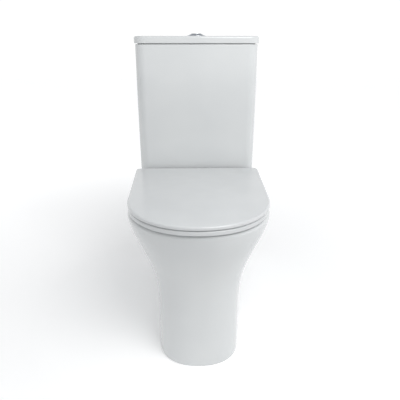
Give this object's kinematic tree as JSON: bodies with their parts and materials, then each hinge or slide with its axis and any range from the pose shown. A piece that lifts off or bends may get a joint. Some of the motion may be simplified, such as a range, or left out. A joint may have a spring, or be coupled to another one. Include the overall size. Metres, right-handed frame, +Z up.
{
  "type": "close coupled toilet",
  "caption": "Floor-standing toilet pan with a cistern bolted on its rear deck, a slim soft-close seat and lid, and a push-button flush.",
  "frame": {"origin": "on the floor, midway across the pan and midway between the wall and the front of the seat lid", "axes": "+X across to the right as seen from the front, front of the seat faces -Y, wall side +Y, +Z up"},
  "size_m": [0.375, 0.618, 0.8193],
  "materials": {
    "glazed_china": "gloss white glaze",
    "seat_plastic": "polished moulded white",
    "chrome": "bright chrome plate",
    "zinc_steel": "zinc plated",
    "rubber": "moulded",
    "buffer_rubber": "soft white moulded",
    "valve_plastic": "moulded natural white",
    "blue_plastic": "moulded",
    "damper_plastic": "moulded",
    "seal_rubber": "moulded silicone"
  },
  "bodies": {
    "root": {"pan_skirt": "glazed_china", "pan_rim": "glazed_china", "pan_bowl": "glazed_china", "pan_sump": "glazed_china", "pan_flush_duct": "glazed_china", "pan_trapway": "glazed_china", "cistern": "glazed_china", "hinge_posts": "chrome", "hinge_pins": "zinc_steel", "hinge_studs": "zinc_steel", "hinge_bushes": "rubber", "hinge_nuts": "valve_plastic", "flush_valve_base": "valve_plastic", "flush_valve_tower": "blue_plastic", "flush_seat_washer": "rubber", "flush_backnut": "valve_plastic", "coupling_gasket": "rubber", "rocker_pin": "zinc_steel", "coupling_bolts": "zinc_steel", "bolt_seals": "rubber", "bolt_washers": "zinc_steel", "wing_nuts": "zinc_steel", "inlet_shank": "valve_plastic", "inlet_washer": "rubber", "inlet_backnut": "valve_plastic", "inlet_head": "blue_plastic", "arm_pin": "zinc_steel", "floor_brackets": "zinc_steel", "side_screws": "zinc_steel", "screw_caps": "glazed_china"},
    "seat_ring": {"seat_ring": "seat_plastic", "ring_buffers": "buffer_rubber", "ring_dampers": "damper_plastic"},
    "seat_lid": {"seat_lid": "seat_plastic", "lid_buffers": "buffer_rubber", "lid_dampers": "damper_plastic"},
    "cistern_lid": {"cistern_lid": "glazed_china", "button_housing": "chrome", "housing_nut": "valve_plastic", "full_spring": "zinc_steel", "half_spring": "zinc_steel"},
    "full_button": {"full_button": "chrome", "full_rod": "valve_plastic"},
    "half_button": {"half_button": "chrome", "half_rod": "valve_plastic"},
    "rocker": {"flush_rocker": "valve_plastic"},
    "flush_lift": {"overflow_tube": "valve_plastic", "flush_seal": "seal_rubber"},
    "float": {"inlet_float": "valve_plastic", "float_rod": "valve_plastic"},
    "float_arm": {"float_arm": "valve_plastic"}
  },
  "joints": [
    {"name": "seat_ring_hinge", "type": "hinge", "parent": "root", "child": "seat_ring", "pos_m": [0, 0.121, 0.421], "axis": [-1, 0, 0], "range_deg": [0, 91.5]},
    {"name": "seat_lid_hinge", "type": "hinge", "parent": "seat_ring", "child": "seat_lid", "pos_m": [0, 0.121, 0.421], "axis": [1, 0, 0], "range_deg": [-91.5, 0]},
    {"name": "cistern_lid_lift", "type": "slide", "parent": "root", "child": "cistern_lid", "axis": [0, 0, 1], "range_m": [0, 0.12]},
    {"name": "full_flush_press", "type": "slide", "parent": "cistern_lid", "child": "full_button", "axis": [0, 0, 1], "range_m": [-0.008, 0], "stiffness_N_per_m": 400, "springref_m": 0.006, "deforming": ["full_spring"]},
    {"name": "half_flush_press", "type": "slide", "parent": "cistern_lid", "child": "half_button", "axis": [0, 0, 1], "range_m": [-0.008, 0], "stiffness_N_per_m": 400, "springref_m": 0.006, "deforming": ["half_spring"]},
    {"name": "rocker_tilt", "type": "hinge", "parent": "root", "child": "rocker", "pos_m": [0.005, 0.224, 0.742], "axis": [0, -1, 0], "range_deg": [0, 32]},
    {"name": "flush_valve_lift", "type": "slide", "parent": "root", "child": "flush_lift", "axis": [0, 0, 1], "range_m": [0, 0.011]},
    {"name": "float_rise", "type": "slide", "parent": "root", "child": "float", "axis": [0, 0, 1], "range_m": [0, 0.016]},
    {"name": "float_arm_tilt", "type": "hinge", "parent": "root", "child": "float_arm", "pos_m": [0.115, 0.251, 0.742], "axis": [0, 1, 0], "range_deg": [0, 23.6]}
  ],
  "couplings": [
    {"joint": "rocker_tilt", "follows": "full_flush_press", "rad_per_m": -69.8},
    {"joint": "flush_valve_lift", "follows": "full_flush_press", "ratio": -1.375},
    {"joint": "float_arm_tilt", "follows": "float_rise", "rad_per_m": 25.7}
  ]
}
